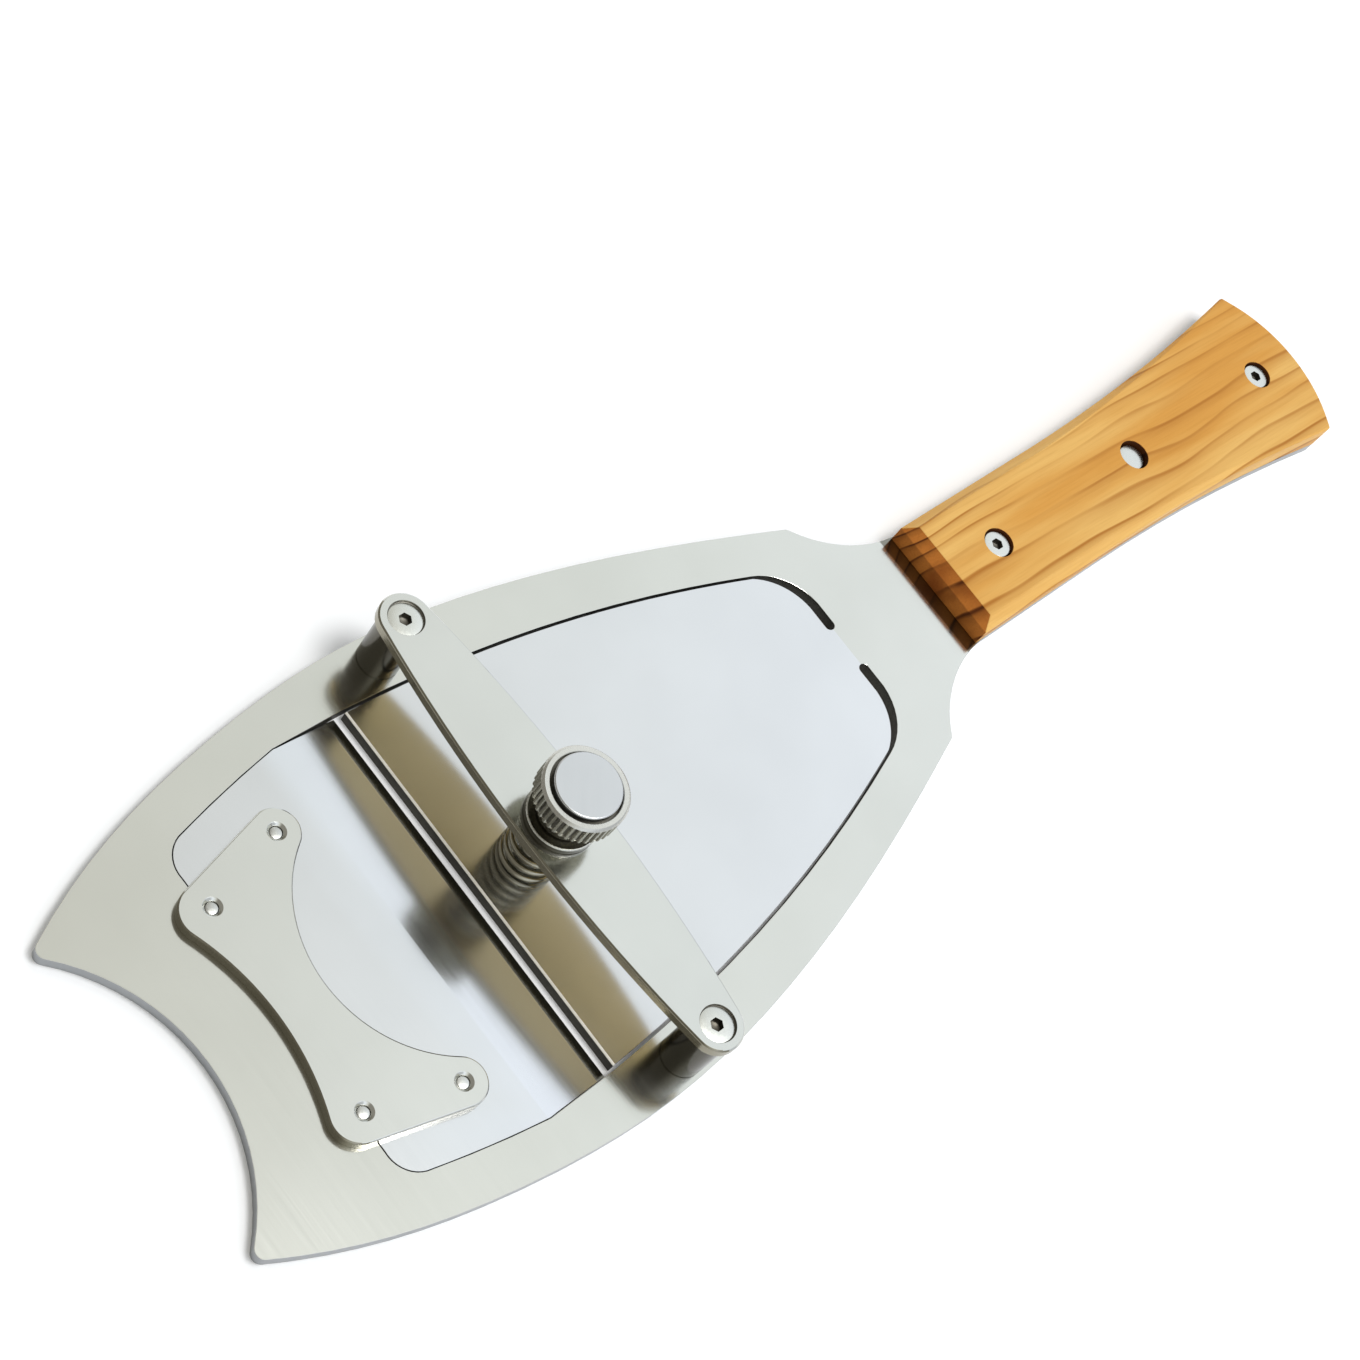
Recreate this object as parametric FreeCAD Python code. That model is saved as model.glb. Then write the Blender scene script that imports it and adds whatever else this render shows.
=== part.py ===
import FreeCAD, Part
import math
import os

# Adjustable truffle slicer: a flat steel frame with a sprung tongue, a fixed blade held by a riveted
# clamp plate, a thumb nut on a raised bridge that lifts the tongue, and a wooden handle scale screwed
# to the frame's own tang.
#
# Millimetres. +X runs from the forked front tips to the butt of the handle, +Y across to the right of
# a person who holds the handle, +Z up on the adjuster side. The origin is the middle of the length and
# width, on the flat face that the food slides along.

V = FreeCAD.Vector
ORIGIN = V(0, 0, 0)
UP = V(0, 0, 1)
ACROSS = V(0, 1, 0)

# ---- overall ----
LENGTH = 280.0
FRONT_X = -LENGTH / 2
BUTT_X = LENGTH / 2
SHEET_T = 2.3                 # frame, tongue and blade share one thickness

# ---- frame outline, right half ----
FORK_R = 34.0                 # concave front edge
FORK_DEPTH = 11.0
TIP_R = 1.5
TIP_SIDE_DEG = 115.0          # direction that the side faces where it leaves the tip
SIDE_POINTS = [(-120.0, 35.3), (-98.0, 40.5), (-72.6, 42.9), (-44.0, 40.0), (-13.0, 32.3)]
SHOULDER = (14.9, 22.8)
SHOULDER_R = 1.2
NECK_MID = (23.8, 14.7)
NECK_END_X = 35.4
TANG_HALF_W = 11.75
FLARE_START_X = 70.0
FLARE_MID = (104.0, 13.15)
BUTT_CORNER = (134.7, 16.6)
BUTT_CORNER_R = 0.6

# ---- slot that frees the tongue: a narrow arm, a wider bend and a round end at the root ----
HINGE_X = 9.1                 # line about which the tongue's root bends
TONGUE_FRONT_X = -77.2
ARM_SLOT_W = 0.55
ARM_POINTS = [(TONGUE_FRONT_X, 33.9), (-52.6, 31.7), (-30.0, 27.8), (-9.5, 22.5), (2.2, 18.7)]
BEND_OUTER_MID = (7.8, 14.9)
BEND_INNER_MID = (5.9, 15.1)
ROOT_SLOT_R = 0.95
ROOT_HALF_W = 3.8
BEND_END_Y = 9.0
ROOT_GAP = 0.1                # parting of tongue and frame at the bending line

# ---- pocket in the frame that takes the blade ----
POCKET_FRONT_X = -115.6
POCKET_CORNER_IN = (POCKET_FRONT_X, 24.4)
POCKET_CORNER_MID = (-114.5, 28.3)
POCKET_CORNER_OUT = (-112.0, 30.1)
POCKET_SIDE_MID = (-100.6, 32.7)
POCKET_KINK = (-91.0, 34.4)
POCKET_RELIEF_X = -112.0      # the pocket stops short here, so that the front rivets sit in the frame
POCKET_RELIEF_Y = 21.2
BLADE_GAP = 0.15

# ---- throat ----
TONGUE_LIP = 0.25
BLADE_GRIND_X = -91.5
BLADE_BEVEL_X = -80.2
BLADE_BEVEL_Z = 0.75
BLADE_EDGE_X = -78.3
BLADE_EDGE_Z = 0.15

# ---- clamp plate and its rivets ----
CLAMP_T = 1.8
CLAMP_REAR_HOLLOW = (-84.4, 23.65)      # centre X and radius of the concave rear edge
CLAMP_FRONT_HOLLOW = (-160.9, 43.7)     # centre X and radius of the concave front edge
CLAMP_REAR_LOBE = (-99.7, 22.85, 3.9)   # centre X, centre Y, radius
CLAMP_FRONT_LOBE = (-116.15, 18.0, 4.5)
CLAMP_EDGE = 0.2
REAR_RIVET = (-99.7, 22.85)
FRONT_RIVET = (-115.2, 18.2)
RIVET_R = 1.1
RIVET_SINK = 0.45
RIVET_RIM_R = 1.53
RIVET_DOME = 0.25

# ---- bridge, standoffs and bridge screws ----
STUD_X = -66.6                # axis of the adjuster; the bridge screws share this X
SCREW_Y = 38.4
STANDOFF_R = 3.6
STANDOFF_H = 11.25
BRIDGE_T = 2.05
BRIDGE_MID_HALF_W = 7.2
BRIDGE_END_R = 4.45
BRIDGE_EDGE = 0.25
BRIDGE_HOLE_R = 2.8
M3_R = 1.5
M3_CLEAR_R = 1.6
SCREW_TIP_Z = 0.2
FLAT_HEAD_R = 2.95
FLAT_HEAD_SINK = 0.45
FLAT_RIM_R = 3.03
HEX_AF = 2.0
HEX_DEPTH = 1.2

# ---- adjuster ----
STUD_R = 2.0
STUD_SPIGOT_R = 1.6
STUD_TOP_Z = 21.2
STUD_CHAMFER = 0.4
WASHER_R = 6.0
WASHER_HOLE_R = 3.2
WASHER_T = 1.4
WASHER_EDGE = 0.2
NUT_GAP = 0.05
NUT_NECK_R = 4.5
NUT_NECK_H = 4.7
NUT_EDGE = 0.3
KNURL_R = 7.1
KNURL_H = 4.0
KNURL_DEPTH = 0.35
KNURL_TEETH = 42
RIM_R = 6.75
RIM_H = 0.45
NUT_BORE_R = 3.1
NUT_BORE_H = 7.1
CAP_RECESS_R = 6.0
CAP_RECESS_DEPTH = 1.0
CAP_R = 5.45
CAP_T = 1.8
CAP_EDGE = 0.2

# ---- coil spring between the tongue and the bridge ----
SPRING_WIRE_R = 0.55
SPRING_MEAN_R = 4.6
SPRING_TURNS = 3.75
SPRING_SEAT = 0.05            # clearance at each end

# ---- handle scale with its screws and middle pin ----
HANDLE_FRONT_X = 32.4
HANDLE_T = 5.6
HANDLE_CHAMFER = 1.9          # front end and sides
HANDLE_CHAMFER_END = 0.25     # width that the side bevels die out to at the butt corners
BEVEL_STEPS = 6               # straight stretches that follow the flare
BEVEL_REACH = 0.5             # how far the bevels' cutting wedges stand clear of the wood
HANDLE_SCREW_FRONT_X = 46.7
HANDLE_SCREW_REAR_X = 128.5
CAP_HEAD_R = 2.7
CAP_HEAD_H = 1.7
CAP_HEAD_SINK = 0.6
CAP_HEAD_EDGE = 0.25
COUNTERBORE_R = 2.9
PIN_X = 87.6
PIN_HEAD_R = 2.72
PIN_HEAD_H = 1.6
PIN_SINK = 1.1
PIN_BORE_R = 3.0
PIN_SHANK_R = 1.75

# ---- heights that follow from the stack ----
CLAMP_TOP_Z = SHEET_T + CLAMP_T
BRIDGE_Z = SHEET_T + STANDOFF_H
BRIDGE_TOP_Z = BRIDGE_Z + BRIDGE_T
WASHER_TOP_Z = BRIDGE_TOP_Z + WASHER_T
NUT_Z = WASHER_TOP_Z + NUT_GAP
HEAD_Z = NUT_Z + NUT_NECK_H
KNURL_TOP_Z = HEAD_Z + KNURL_H
RIM_TOP_Z = KNURL_TOP_Z + RIM_H
RECESS_Z = RIM_TOP_Z - CAP_RECESS_DEPTH
HANDLE_TOP_Z = SHEET_T + HANDLE_T
CAP_HEAD_TOP_Z = HANDLE_TOP_Z - CAP_HEAD_SINK
CAP_HEAD_SEAT_Z = CAP_HEAD_TOP_Z - CAP_HEAD_H
PIN_TOP_Z = HANDLE_TOP_Z - PIN_SINK
PIN_SEAT_Z = PIN_TOP_Z - PIN_HEAD_H
FLAT_HEAD_TOP_Z = BRIDGE_TOP_Z - FLAT_HEAD_SINK
FLAT_HEAD_SEAT_Z = FLAT_HEAD_TOP_Z - (FLAT_HEAD_R - M3_R)


# ---- plane geometry ----
def flipped(xy):
    return (xy[0], -xy[1])


def step_from(centre, radius, degrees):
    turn = math.radians(degrees)
    return (centre[0] + radius * math.cos(turn), centre[1] + radius * math.sin(turn))


def heading(a, b):
    return math.degrees(math.atan2(b[1] - a[1], b[0] - a[0]))


def line(a, b):
    return Part.LineSegment(V(a[0], a[1], 0), V(b[0], b[1], 0)).toShape()


def arc(a, middle, b):
    return Part.Arc(V(a[0], a[1], 0), V(middle[0], middle[1], 0), V(b[0], b[1], 0)).toShape()


def bend(centre, radius, start_deg, end_deg):
    """Arc about a centre, between two directions seen from it."""
    return arc(step_from(centre, radius, start_deg),
               step_from(centre, radius, (start_deg + end_deg) / 2),
               step_from(centre, radius, end_deg))


def spline(points):
    curve = Part.BSplineCurve()
    curve.interpolate([V(x, y, 0) for x, y in points])
    return curve.toShape()


def both_sides(edges):
    return edges + [edge.mirror(ORIGIN, ACROSS) for edge in edges]


# ---- solids ----
def face_of(edges):
    return Part.Face(Part.Wire(Part.__sortEdges__(edges)))


def slab(face, z, height):
    solid = face.extrude(V(0, 0, height))
    solid.translate(V(0, 0, z))
    return solid


def rod(radius, xy, low_z, high_z):
    return Part.makeCylinder(radius, high_z - low_z, V(xy[0], xy[1], low_z))


def cone(low_r, high_r, xy, low_z, high_z):
    return Part.makeCone(low_r, high_r, high_z - low_z, V(xy[0], xy[1], low_z))


def turned(profile, xy):
    """Solid of revolution about the vertical line through xy, from a closed list of (r, z)."""
    corners = [V(r, 0, z) for r, z in profile]
    solid = Part.Face(Part.makePolygon(corners + corners[:1])).revolve(ORIGIN, UP, 360)
    solid.translate(V(xy[0], xy[1], 0))
    return solid


def hex_socket(xy, top_z):
    corner_r = HEX_AF / math.sqrt(3)
    corners = [step_from(xy, corner_r, 60 * i) for i in range(7)]
    outline = Part.makePolygon([V(x, y, top_z - HEX_DEPTH) for x, y in corners])
    return Part.Face(outline).extrude(V(0, 0, HEX_DEPTH))


def upright_edges(solid, xy):
    """Upright edges of a solid at the point xy and at its mirror image."""
    found = []
    for edge in solid.Edges:
        box = edge.BoundBox
        at = edge.CenterOfMass
        beside = math.hypot(at.x - xy[0], abs(at.y) - xy[1]) < 0.3
        if beside and box.ZLength > 1.0 and box.XLength < 0.01:
            found.append(edge)
    return found


def top_rim(solid, z):
    """Edges that lie wholly in the level plane at height z."""
    return [e for e in solid.Edges if abs(e.BoundBox.ZMin - z) < 0.01 and e.BoundBox.ZLength < 0.01]


# ---- outlines ----
def frame_outline():
    tip_x = FRONT_X + TIP_R
    fork_x = FRONT_X + FORK_DEPTH - FORK_R
    tip = (tip_x, math.sqrt((FORK_R + TIP_R) ** 2 - (tip_x - fork_x) ** 2))
    fork_deg = heading((fork_x, 0), tip)
    side_start = step_from(tip, TIP_R, TIP_SIDE_DEG)
    edges = [
        bend(tip, TIP_R, fork_deg + 180, TIP_SIDE_DEG),
        spline([side_start] + SIDE_POINTS + [SHOULDER]),
        arc(SHOULDER, NECK_MID, (NECK_END_X, TANG_HALF_W)),
        line((NECK_END_X, TANG_HALF_W), (FLARE_START_X, TANG_HALF_W)),
        arc((FLARE_START_X, TANG_HALF_W), FLARE_MID, BUTT_CORNER),
    ]
    front = bend((fork_x, 0), FORK_R, -fork_deg, fork_deg)
    butt = arc(BUTT_CORNER, (BUTT_X, 0), flipped(BUTT_CORNER))
    return face_of(both_sides(edges) + [front, butt])


def pocket_outline():
    """Pocket for the blade, from its front edge to the tongue's front edge."""
    throat = (TONGUE_FRONT_X, ARM_POINTS[0][1] + ARM_SLOT_W / 2)
    edges = [
        line((POCKET_RELIEF_X, 0), (POCKET_RELIEF_X, POCKET_RELIEF_Y)),
        line((POCKET_RELIEF_X, POCKET_RELIEF_Y), (POCKET_FRONT_X, POCKET_RELIEF_Y)),
        line((POCKET_FRONT_X, POCKET_RELIEF_Y), POCKET_CORNER_IN),
        arc(POCKET_CORNER_IN, POCKET_CORNER_MID, POCKET_CORNER_OUT),
        arc(POCKET_CORNER_OUT, POCKET_SIDE_MID, POCKET_KINK),
        line(POCKET_KINK, throat),
        line(throat, (TONGUE_FRONT_X, 0)),
    ]
    return face_of(both_sides(edges))


def slot_wall(side, bend_mid):
    """Area inside one wall of the tongue's slot: side is 1 for the frame's wall and -1 for the tongue's."""
    arm = [(x, y + side * ARM_SLOT_W / 2) for x, y in ARM_POINTS]
    wall_x = HINGE_X + side * ROOT_SLOT_R
    bend_end = (wall_x, BEND_END_Y)
    end_centre = (HINGE_X, ROOT_HALF_W + ROOT_SLOT_R)
    edges = [
        spline(arm),
        arc(arm[-1], bend_mid, bend_end),
        line(bend_end, (wall_x, end_centre[1])),
        bend(end_centre, ROOT_SLOT_R, 90 - 90 * side, 90 - 180 * side),
    ]
    root = line((HINGE_X, ROOT_HALF_W), (HINGE_X, -ROOT_HALF_W))
    return face_of(both_sides(edges) + [line(arm[0], flipped(arm[0])), root])


def clamp_outline():
    rear_hollow = (CLAMP_REAR_HOLLOW[0], 0)
    front_hollow = (CLAMP_FRONT_HOLLOW[0], 0)
    rear_lobe = CLAMP_REAR_LOBE[:2]
    front_lobe = CLAMP_FRONT_LOBE[:2]
    rear_r = CLAMP_REAR_LOBE[2]
    front_r = CLAMP_FRONT_LOBE[2]
    gap = math.dist(front_lobe, rear_lobe)
    side_deg = heading(front_lobe, rear_lobe) + 90 + math.degrees(math.asin((rear_r - front_r) / gap))
    edges = [
        bend(rear_lobe, rear_r, heading(rear_lobe, rear_hollow), side_deg),
        line(step_from(rear_lobe, rear_r, side_deg), step_from(front_lobe, front_r, side_deg)),
        bend(front_lobe, front_r, side_deg, heading(front_lobe, front_hollow) + 360),
    ]
    rear_start = step_from(rear_lobe, rear_r, heading(rear_lobe, rear_hollow))
    front_end = step_from(front_lobe, front_r, heading(front_lobe, front_hollow))
    rear = arc(rear_start, (CLAMP_REAR_HOLLOW[0] - CLAMP_REAR_HOLLOW[1], 0), flipped(rear_start))
    front = arc(front_end, (CLAMP_FRONT_HOLLOW[0] + CLAMP_FRONT_HOLLOW[1], 0), flipped(front_end))
    return face_of(both_sides(edges) + [rear, front])


def bridge_outline():
    """Bar that tapers from its middle to round ends, each long edge one arc tangent to the ends."""
    narrowing = BRIDGE_MID_HALF_W - BRIDGE_END_R
    edge_r = (SCREW_Y ** 2 + BRIDGE_MID_HALF_W ** 2 - BRIDGE_END_R ** 2) / (2 * narrowing)
    rear_centre = (STUD_X + BRIDGE_MID_HALF_W - edge_r, 0)
    end = (STUD_X, SCREW_Y)
    tangent_deg = heading(rear_centre, end)
    rear_end = step_from(end, BRIDGE_END_R, tangent_deg)
    front_end = step_from(end, BRIDGE_END_R, 180 - tangent_deg)
    rear = arc(rear_end, (STUD_X + BRIDGE_MID_HALF_W, 0), flipped(rear_end))
    front = arc(front_end, (STUD_X - BRIDGE_MID_HALF_W, 0), flipped(front_end))
    return face_of(both_sides([bend(end, BRIDGE_END_R, tangent_deg, 180 - tangent_deg)]) + [rear, front])


def handle_outline():
    front = (HANDLE_FRONT_X, TANG_HALF_W)
    edges = [
        line(front, (FLARE_START_X, TANG_HALF_W)),
        arc((FLARE_START_X, TANG_HALF_W), FLARE_MID, BUTT_CORNER),
    ]
    butt = arc(BUTT_CORNER, (BUTT_X, 0), flipped(BUTT_CORNER))
    return face_of(both_sides(edges) + [line(front, flipped(front)), butt])


# ---- flat parts ----
def root_parting():
    half_w = ROOT_HALF_W + ROOT_SLOT_R
    return Part.makeBox(ROOT_GAP, 2 * half_w, SHEET_T, V(HINGE_X - ROOT_GAP / 2, -half_w, 0))


def make_frame_plate():
    plate = slab(frame_outline(), 0, SHEET_T)
    plate = plate.makeFillet(SHOULDER_R, upright_edges(plate, SHOULDER))
    plate = plate.makeFillet(BUTT_CORNER_R, upright_edges(plate, BUTT_CORNER))
    plate = plate.cut(slab(pocket_outline(), 0, SHEET_T))
    plate = plate.cut(slab(slot_wall(1, BEND_OUTER_MID), 0, SHEET_T))
    plate = plate.cut(root_parting())
    for sign in (1, -1):
        plate = plate.cut(rod(M3_R, (STUD_X, sign * SCREW_Y), 0, SHEET_T))
        plate = plate.cut(rod(RIVET_R, (FRONT_RIVET[0], sign * FRONT_RIVET[1]), 0, SHEET_T))
    for x in (HANDLE_SCREW_FRONT_X, HANDLE_SCREW_REAR_X):
        plate = plate.cut(rod(M3_R, (x, 0), 0, SHEET_T))
    return plate.cut(rod(PIN_SHANK_R, (PIN_X, 0), 0, SHEET_T))


def make_blade():
    outline = pocket_outline().makeOffset2D(-BLADE_GAP)
    blade = slab(outline, 0, SHEET_T)
    width = 2 * SCREW_Y
    ground = [(BLADE_GRIND_X, SHEET_T), (BLADE_BEVEL_X, BLADE_BEVEL_Z), (BLADE_EDGE_X, BLADE_EDGE_Z),
              (BLADE_EDGE_X, -SHEET_T), (0, -SHEET_T), (0, SHEET_T)]
    corners = [V(x, -width / 2, z) for x, z in ground]
    blade = blade.cut(Part.Face(Part.makePolygon(corners + corners[:1])).extrude(V(0, width, 0)))
    for sign in (1, -1):
        blade = blade.cut(rod(RIVET_R, (REAR_RIVET[0], sign * REAR_RIVET[1]), 0, SHEET_T))
    return blade


def make_clamp_plate():
    plate = slab(clamp_outline(), SHEET_T, CLAMP_T)
    plate = plate.makeChamfer(CLAMP_EDGE, top_rim(plate, CLAMP_TOP_Z))
    for x, y in (REAR_RIVET, FRONT_RIVET, flipped(REAR_RIVET), flipped(FRONT_RIVET)):
        plate = plate.cut(rod(RIVET_R, (x, y), SHEET_T, CLAMP_TOP_Z))
        plate = plate.cut(cone(RIVET_R, RIVET_RIM_R, (x, y), CLAMP_TOP_Z - RIVET_SINK, CLAMP_TOP_Z))
    return plate


def make_rivet(xy):
    dome_z = CLAMP_TOP_Z - RIVET_SINK - RIVET_DOME
    shank = rod(RIVET_R, xy, 0, dome_z)
    return shank.fuse(cone(RIVET_R, RIVET_R * 0.55, xy, dome_z, dome_z + RIVET_DOME)).removeSplitter()


def make_tongue():
    tongue = slab(slot_wall(-1, BEND_INNER_MID), 0, SHEET_T)
    front = [e for e in top_rim(tongue, SHEET_T) if e.BoundBox.XMax < TONGUE_FRONT_X + 0.01]
    tongue = tongue.makeChamfer(TONGUE_LIP, front)
    return tongue.cut(root_parting()).cut(rod(STUD_SPIGOT_R, (STUD_X, 0), 0, SHEET_T))


def make_bridge():
    bridge = slab(bridge_outline(), BRIDGE_Z, BRIDGE_T)
    bridge = bridge.makeChamfer(BRIDGE_EDGE, top_rim(bridge, BRIDGE_TOP_Z) + top_rim(bridge, BRIDGE_Z))
    bridge = bridge.cut(rod(BRIDGE_HOLE_R, (STUD_X, 0), BRIDGE_Z, BRIDGE_TOP_Z))
    for sign in (1, -1):
        at = (STUD_X, sign * SCREW_Y)
        bridge = bridge.cut(rod(M3_CLEAR_R, at, BRIDGE_Z, BRIDGE_TOP_Z))
        bridge = bridge.cut(cone(M3_R, FLAT_HEAD_R, at, FLAT_HEAD_SEAT_Z, FLAT_HEAD_TOP_Z))
        bridge = bridge.cut(rod(FLAT_RIM_R, at, FLAT_HEAD_TOP_Z, BRIDGE_TOP_Z))
    return bridge


# ---- bridge hardware ----
def make_standoff(side):
    at = (STUD_X, side * SCREW_Y)
    return rod(STANDOFF_R, at, SHEET_T, BRIDGE_Z).cut(rod(M3_CLEAR_R, at, SHEET_T, BRIDGE_Z))


def make_bridge_screw(side):
    at = (STUD_X, side * SCREW_Y)
    screw = rod(M3_R, at, SCREW_TIP_Z, FLAT_HEAD_TOP_Z)
    screw = screw.fuse(cone(M3_R, FLAT_HEAD_R, at, FLAT_HEAD_SEAT_Z, FLAT_HEAD_TOP_Z))
    return screw.cut(hex_socket(at, FLAT_HEAD_TOP_Z)).removeSplitter()


# ---- adjuster ----
def make_adjust_stud():
    profile = [(0, 0), (STUD_SPIGOT_R, 0), (STUD_SPIGOT_R, SHEET_T), (STUD_R, SHEET_T),
               (STUD_R, STUD_TOP_Z - STUD_CHAMFER), (STUD_R - STUD_CHAMFER, STUD_TOP_Z), (0, STUD_TOP_Z)]
    return turned(profile, (STUD_X, 0))


def make_nut_washer():
    edge_z = WASHER_TOP_Z - WASHER_EDGE
    profile = [(WASHER_HOLE_R, BRIDGE_TOP_Z), (WASHER_R, BRIDGE_TOP_Z), (WASHER_R, edge_z),
               (WASHER_R - WASHER_EDGE, WASHER_TOP_Z), (WASHER_HOLE_R, WASHER_TOP_Z)]
    return turned(profile, (STUD_X, 0))


def make_thumb_nut():
    bore_top = NUT_Z + NUT_BORE_H
    profile = [(NUT_BORE_R, NUT_Z), (NUT_NECK_R - NUT_EDGE, NUT_Z), (NUT_NECK_R, NUT_Z + NUT_EDGE),
               (NUT_NECK_R, HEAD_Z), (KNURL_R - NUT_EDGE, HEAD_Z), (KNURL_R, HEAD_Z + NUT_EDGE),
               (KNURL_R, KNURL_TOP_Z), (RIM_R, RIM_TOP_Z), (CAP_RECESS_R, RIM_TOP_Z),
               (CAP_RECESS_R, RECESS_Z), (0, RECESS_Z), (0, bore_top), (NUT_BORE_R, bore_top)]
    nut = turned(profile, (STUD_X, 0))
    step = 360 / KNURL_TEETH
    grooves = []
    for i in range(KNURL_TEETH):
        bottom = step_from((STUD_X, 0), KNURL_R - KNURL_DEPTH, i * step)
        sides = [step_from((STUD_X, 0), KNURL_R + KNURL_DEPTH, (i + k) * step) for k in (-0.7, 0.7)]
        corners = [V(x, y, HEAD_Z) for x, y in (bottom, sides[0], sides[1], bottom)]
        grooves.append(Part.Face(Part.makePolygon(corners)).extrude(V(0, 0, KNURL_H)))
    return nut.cut(Part.makeCompound(grooves))


def make_nut_cap():
    top = RECESS_Z + CAP_T
    profile = [(0, RECESS_Z), (CAP_R, RECESS_Z), (CAP_R, top - CAP_EDGE), (CAP_R - CAP_EDGE, top), (0, top)]
    return turned(profile, (STUD_X, 0))


def make_coil_spring():
    low_z = SHEET_T + SPRING_SEAT + SPRING_WIRE_R
    rise = STANDOFF_H - 2 * (SPRING_SEAT + SPRING_WIRE_R)
    path = Part.makeLongHelix(rise / SPRING_TURNS, rise, SPRING_MEAN_R)
    section = Part.Wire(Part.makeCircle(SPRING_WIRE_R, V(SPRING_MEAN_R, 0, 0), ACROSS))
    spring = path.makePipeShell([section], True, True)
    spring.translate(V(STUD_X, 0, low_z))
    return spring


# ---- handle ----
def bevel_section(at, outward, width):
    """Triangle that a bevel of this width takes away across a top edge of the handle."""
    corner = V(at.x, at.y, HANDLE_TOP_Z)
    corners = [corner - outward * (width + BEVEL_REACH) + UP * BEVEL_REACH,
               corner + outward * BEVEL_REACH - UP * (width + BEVEL_REACH),
               corner + outward * BEVEL_REACH + UP * BEVEL_REACH]
    return Part.makePolygon(corners + corners[:1])


def side_bevel():
    """Wedge along the right side: even along the straight grip, then dying out towards the butt."""
    flare = arc((FLARE_START_X, TANG_HALF_W), FLARE_MID, BUTT_CORNER)
    sections = [bevel_section(V(HANDLE_FRONT_X - BEVEL_REACH, TANG_HALF_W, 0), ACROSS, HANDLE_CHAMFER)]
    for step, at in enumerate(flare.discretize(BEVEL_STEPS + 1)):
        along = flare.tangentAt(flare.Curve.parameter(at))
        share = step / BEVEL_STEPS
        width = HANDLE_CHAMFER + (HANDLE_CHAMFER_END - HANDLE_CHAMFER) * share
        sections.append(bevel_section(at, UP.cross(along), width))
    sections.append(bevel_section(at + along * BEVEL_REACH, UP.cross(along), HANDLE_CHAMFER_END))
    return Part.makeLoft(sections, True, True)


def front_bevel():
    half_w = TANG_HALF_W + BEVEL_REACH
    ends = [V(HANDLE_FRONT_X, -half_w, 0), V(HANDLE_FRONT_X, half_w, 0)]
    return Part.makeLoft([bevel_section(end, V(-1, 0, 0), HANDLE_CHAMFER) for end in ends], True, True)


def make_handle_scale():
    scale = slab(handle_outline(), SHEET_T, HANDLE_T)
    scale = scale.makeFillet(BUTT_CORNER_R, upright_edges(scale, BUTT_CORNER))
    bevel = side_bevel()
    scale = scale.cut(bevel).cut(bevel.mirror(ORIGIN, ACROSS)).cut(front_bevel())
    for x in (HANDLE_SCREW_FRONT_X, HANDLE_SCREW_REAR_X):
        scale = scale.cut(rod(M3_CLEAR_R, (x, 0), SHEET_T, HANDLE_TOP_Z))
        scale = scale.cut(rod(COUNTERBORE_R, (x, 0), CAP_HEAD_SEAT_Z, HANDLE_TOP_Z))
    scale = scale.cut(rod(PIN_SHANK_R, (PIN_X, 0), SHEET_T, HANDLE_TOP_Z))
    return scale.cut(rod(PIN_BORE_R, (PIN_X, 0), PIN_SEAT_Z, HANDLE_TOP_Z))


def make_handle_screw(x):
    profile = [(0, SCREW_TIP_Z), (M3_R, SCREW_TIP_Z), (M3_R, CAP_HEAD_SEAT_Z), (CAP_HEAD_R, CAP_HEAD_SEAT_Z),
               (CAP_HEAD_R, CAP_HEAD_TOP_Z - CAP_HEAD_EDGE), (CAP_HEAD_R - CAP_HEAD_EDGE, CAP_HEAD_TOP_Z),
               (0, CAP_HEAD_TOP_Z)]
    return turned(profile, (x, 0)).cut(hex_socket((x, 0), CAP_HEAD_TOP_Z))


def make_handle_pin():
    profile = [(0, 0), (PIN_SHANK_R, 0), (PIN_SHANK_R, PIN_SEAT_Z), (PIN_HEAD_R, PIN_SEAT_Z),
               (PIN_HEAD_R, PIN_TOP_Z), (0, PIN_TOP_Z)]
    return turned(profile, (PIN_X, 0))


PARTS = {
    "frame_plate": make_frame_plate(),
    "blade": make_blade(),
    "clamp_plate": make_clamp_plate(),
    "rivet_front_right": make_rivet(FRONT_RIVET),
    "rivet_front_left": make_rivet(flipped(FRONT_RIVET)),
    "rivet_rear_right": make_rivet(REAR_RIVET),
    "rivet_rear_left": make_rivet(flipped(REAR_RIVET)),
    "tongue": make_tongue(),
    "adjust_stud": make_adjust_stud(),
    "bridge": make_bridge(),
    "standoff_right": make_standoff(1),
    "standoff_left": make_standoff(-1),
    "bridge_screw_right": make_bridge_screw(1),
    "bridge_screw_left": make_bridge_screw(-1),
    "coil_spring": make_coil_spring(),
    "nut_washer": make_nut_washer(),
    "thumb_nut": make_thumb_nut(),
    "nut_cap": make_nut_cap(),
    "handle_scale": make_handle_scale(),
    "handle_screw_front": make_handle_screw(HANDLE_SCREW_FRONT_X),
    "handle_screw_rear": make_handle_screw(HANDLE_SCREW_REAR_X),
    "handle_pin": make_handle_pin(),
}

os.makedirs("parts", exist_ok=True)
for name, shape in PARTS.items():
    shape.exportStep("parts/" + name + ".step")
    box = shape.BoundBox
    print(f"{name:20s} solids {len(shape.Solids)} valid {shape.isValid()} volume {shape.Volume:9.1f}  "
          f"x {box.XMin:8.2f} {box.XMax:8.2f}  y {box.YMin:7.2f} {box.YMax:7.2f}  "
          f"z {box.ZMin:6.2f} {box.ZMax:6.2f}")
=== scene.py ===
import math

import bmesh
import bpy
from mathutils import Matrix, Vector


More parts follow.
